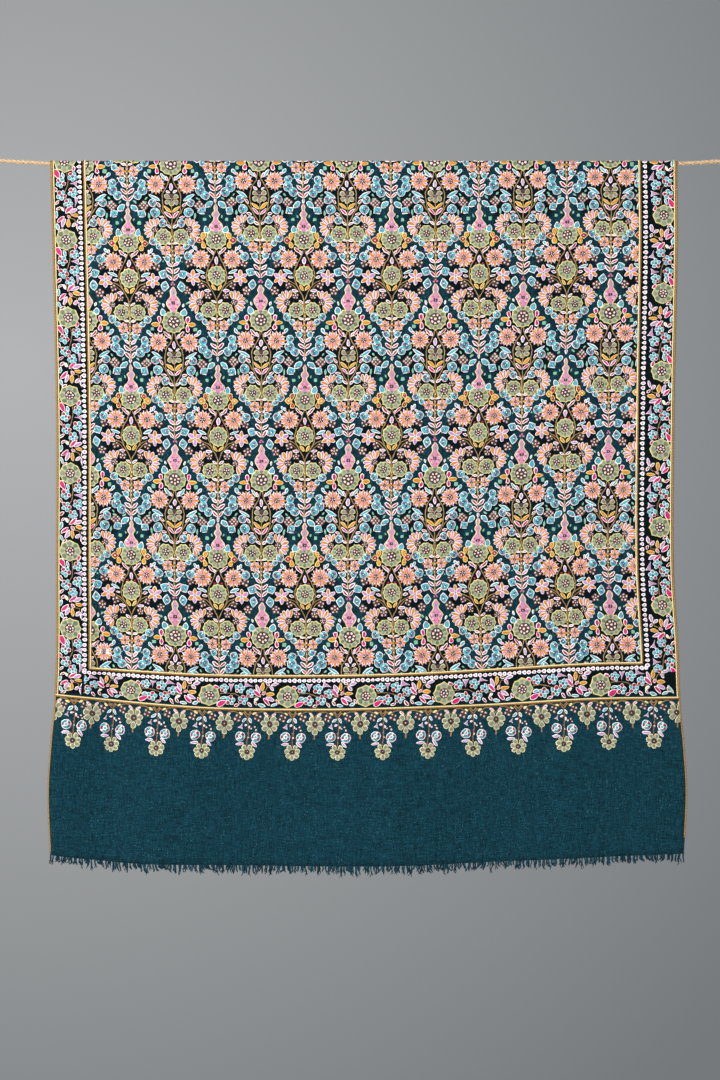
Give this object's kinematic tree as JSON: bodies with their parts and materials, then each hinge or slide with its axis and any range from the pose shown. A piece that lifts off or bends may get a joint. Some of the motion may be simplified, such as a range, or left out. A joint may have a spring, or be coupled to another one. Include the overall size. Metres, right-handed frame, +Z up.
{
  "type": "embroidered pashmina shawl hung over a taut jute twine",
  "caption": "Wide embroidered wool shawl with bordered ends and short fringe, folded over a taut line so that both drops hang flat.",
  "frame": {"origin": "on the twine's centreline, midway along the shawl's fold, where the twine carries the cloth", "axes": "+X along the twine to the viewer's right, -Y out of the front drop's embroidered face, +Z up"},
  "size_m": [1.2946, 0.027, 1.1793],
  "materials": {
    "pashmina": "fine dark teal goat wool, matte with a soft nap",
    "fringe": "loose dark teal wool warp ends",
    "gold_thread": "couched gold coloured thread with a low sheen",
    "silk_thread": "fine coloured embroidery thread with a low sheen",
    "jute": "dry hairy two-ply jute"
  },
  "bodies": {
    "root": {"front_drop": "pashmina", "back_drop": "pashmina", "fringe_front": "fringe", "fringe_back": "fringe", "edging_left": "gold_thread", "edging_right": "gold_thread", "field_cord_front": "gold_thread", "field_cord_back": "gold_thread", "hem_cord_front": "gold_thread", "hem_cord_back": "gold_thread", "twine": "jute", "twine_loop_left": "jute", "twine_loop_right": "jute"}
  },
  "joints": []
}
